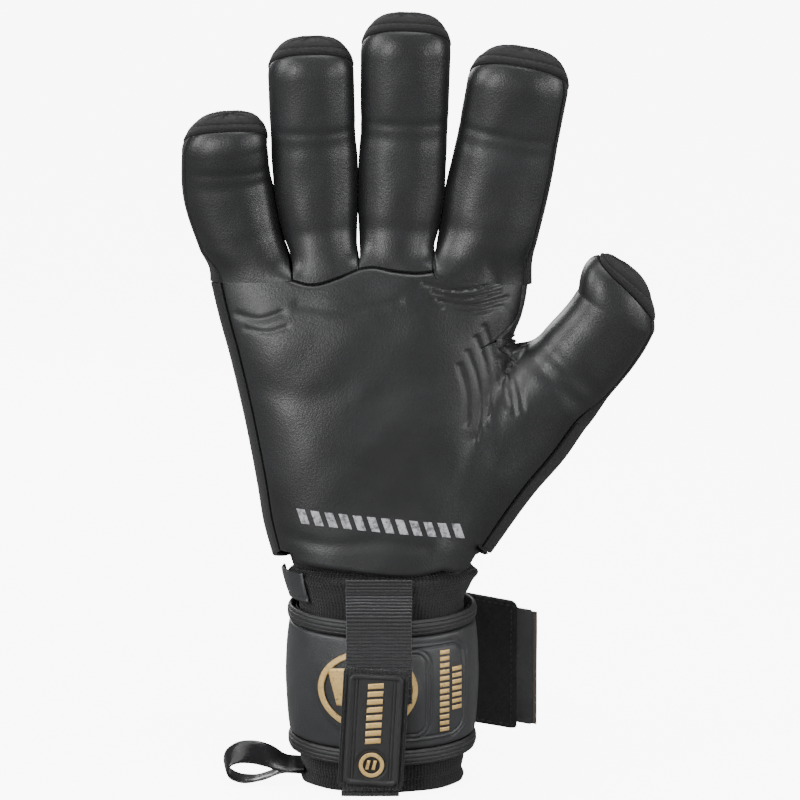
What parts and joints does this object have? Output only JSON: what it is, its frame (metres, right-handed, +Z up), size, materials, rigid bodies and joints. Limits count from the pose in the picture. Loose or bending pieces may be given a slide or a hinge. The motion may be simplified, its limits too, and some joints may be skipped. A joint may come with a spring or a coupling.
{
  "type": "goalkeeper glove",
  "caption": "Right-hand goalkeeper glove with a foamed latex palm, padded backhand, wrapped wrist strap, hinged pull tab, finger stalls that bend and a side pull loop.",
  "frame": {"origin": "middle of the wrist opening, at the lower hem of the wrist bandage", "axes": "+Z up the hand to the fingertips, -Y out of the palm, +X towards the thumb"},
  "size_m": [0.1702, 0.075, 0.283],
  "materials": {
    "latex": "matt foamed latex with a soft sheen",
    "backhand": "embossed coated textile over foam",
    "padded_cuff": "smooth coated textile over foam",
    "lining": "thin knitted jersey",
    "bandage_knit": "brushed elastic knit",
    "webbing": "ribbed elastic webbing",
    "loop_pile": "short loop pile",
    "hook_film": "moulded hook film",
    "tab_rubber": "moulded rubber with fine ridges",
    "gold_mark": "printed and welded gold film",
    "binding": "folded textile binding and side panels"
  },
  "bodies": {
    "hand": {"palm_latex": "latex", "backhand_panel": "backhand", "little_side_gusset": "binding", "knuckle_pad": "padded_cuff", "hand_lining": "lining", "wrist_bandage": "bandage_knit", "corner_patch": "padded_cuff", "elastic_webbing": "webbing", "strap_shell": "padded_cuff", "strap_lining": "loop_pile", "strap_top_binding": "binding", "strap_bottom_binding": "binding", "strap_emblem": "gold_mark", "web_gusset": "binding", "tab_anchor": "webbing"},
    "little_base": {"little_base_latex": "latex", "little_base_back": "backhand", "little_lining": "lining"},
    "little_tip": {"little_tip_latex": "latex", "little_tip_back": "backhand", "little_tip_binding": "binding"},
    "ring_base": {"ring_base_latex": "latex", "ring_base_back": "backhand", "ring_lining": "lining"},
    "ring_tip": {"ring_tip_latex": "latex", "ring_tip_back": "backhand", "ring_tip_binding": "binding"},
    "middle_base": {"middle_base_latex": "latex", "middle_base_back": "backhand", "middle_lining": "lining"},
    "middle_tip": {"middle_tip_latex": "latex", "middle_tip_back": "backhand", "middle_tip_binding": "binding"},
    "index_base": {"index_base_latex": "latex", "index_base_back": "backhand", "index_lining": "lining"},
    "index_tip": {"index_tip_latex": "latex", "index_tip_back": "backhand", "index_tip_binding": "binding"},
    "thumb_base": {"thumb_base_latex": "latex", "thumb_base_back": "backhand", "thumb_side_gusset": "binding", "thumb_lining": "lining"},
    "thumb_tip": {"thumb_tip_latex": "latex", "thumb_tip_back": "backhand", "thumb_tip_binding": "binding"},
    "strap_tail": {"tail_core": "webbing", "tail_pile": "loop_pile", "tail_hook_film": "hook_film", "tail_edge_tape": "binding"},
    "pull_tab": {"tab_fabric": "webbing", "tab_rubber_patch": "tab_rubber", "tab_hook_patch": "hook_film", "tab_emblem": "gold_mark"},
    "pull_loop": {"pull_loop": "padded_cuff"}
  },
  "joints": [
    {"name": "little_knuckle_bend", "type": "hinge", "parent": "hand", "child": "little_base", "pos_m": [-0.05036, -0.00193, 0.2], "axis": [1, 0, 0], "range_deg": [-10, 70], "stiffness_Nm_per_rad": 0.03, "deforming": ["little_lining"]},
    {"name": "little_middle_bend", "type": "hinge", "parent": "little_base", "child": "little_tip", "pos_m": [-0.05584, -0.0049, 0.224], "axis": [1, 0, 0], "range_deg": [-8, 72], "stiffness_Nm_per_rad": 0.03, "deforming": ["little_lining"]},
    {"name": "ring_knuckle_bend", "type": "hinge", "parent": "hand", "child": "ring_base", "pos_m": [-0.02207, -0.00211, 0.204], "axis": [1, 0, 0], "range_deg": [-10, 75], "stiffness_Nm_per_rad": 0.03, "deforming": ["ring_lining"]},
    {"name": "ring_middle_bend", "type": "hinge", "parent": "ring_base", "child": "ring_tip", "pos_m": [-0.02458, -0.00534, 0.238], "axis": [1, 0, 0], "range_deg": [-8, 75], "stiffness_Nm_per_rad": 0.03, "deforming": ["ring_lining"]},
    {"name": "middle_knuckle_bend", "type": "hinge", "parent": "hand", "child": "middle_base", "pos_m": [0.00597, -0.00215, 0.205], "axis": [1, 0, 0], "range_deg": [-10, 75], "stiffness_Nm_per_rad": 0.03, "deforming": ["middle_lining"]},
    {"name": "middle_middle_bend", "type": "hinge", "parent": "middle_base", "child": "middle_tip", "pos_m": [0.00805, -0.00541, 0.241], "axis": [1, 0, 0], "range_deg": [-8, 75], "stiffness_Nm_per_rad": 0.03, "deforming": ["middle_lining"]},
    {"name": "index_knuckle_bend", "type": "hinge", "parent": "hand", "child": "index_base", "pos_m": [0.03837, -0.00205, 0.203], "axis": [1, 0, 0], "range_deg": [-10, 62], "stiffness_Nm_per_rad": 0.03, "deforming": ["index_lining"]},
    {"name": "index_middle_bend", "type": "hinge", "parent": "index_base", "child": "index_tip", "pos_m": [0.04489, -0.00546, 0.237], "axis": [1, 0, 0], "range_deg": [-8, 62], "stiffness_Nm_per_rad": 0.03, "deforming": ["index_lining"]},
    {"name": "thumb_fold", "type": "hinge", "parent": "hand", "child": "thumb_base", "pos_m": [0.032, -0.0015, 0.084], "axis": [-0.1727, 0, -0.985], "range_deg": [-12, 34], "stiffness_Nm_per_rad": 0.06, "deforming": ["thumb_lining", "web_gusset"]},
    {"name": "thumb_tip_bend", "type": "hinge", "parent": "thumb_base", "child": "thumb_tip", "pos_m": [0.0685, -0.003, 0.154], "axis": [0.7512, 0, -0.6601], "range_deg": [-8, 44], "stiffness_Nm_per_rad": 0.03, "deforming": ["thumb_lining", "web_gusset"]},
    {"name": "strap_tail_swing", "type": "hinge", "parent": "hand", "child": "strap_tail", "pos_m": [0.0146, 0.0269, 0.0435], "axis": [0, 0, 1], "range_deg": [-20, 95]},
    {"name": "pull_tab_peel", "type": "hinge", "parent": "hand", "child": "pull_tab", "pos_m": [-0.0042, -0.0334, 0.0064], "axis": [0.9984, 0, -0.0558], "range_deg": [0, 120]},
    {"name": "pull_loop_swing", "type": "hinge", "parent": "hand", "child": "pull_loop", "pos_m": [-0.0322, -0.004, 0.0068], "axis": [0, 1, 0], "range_deg": [-40, 12]}
  ]
}
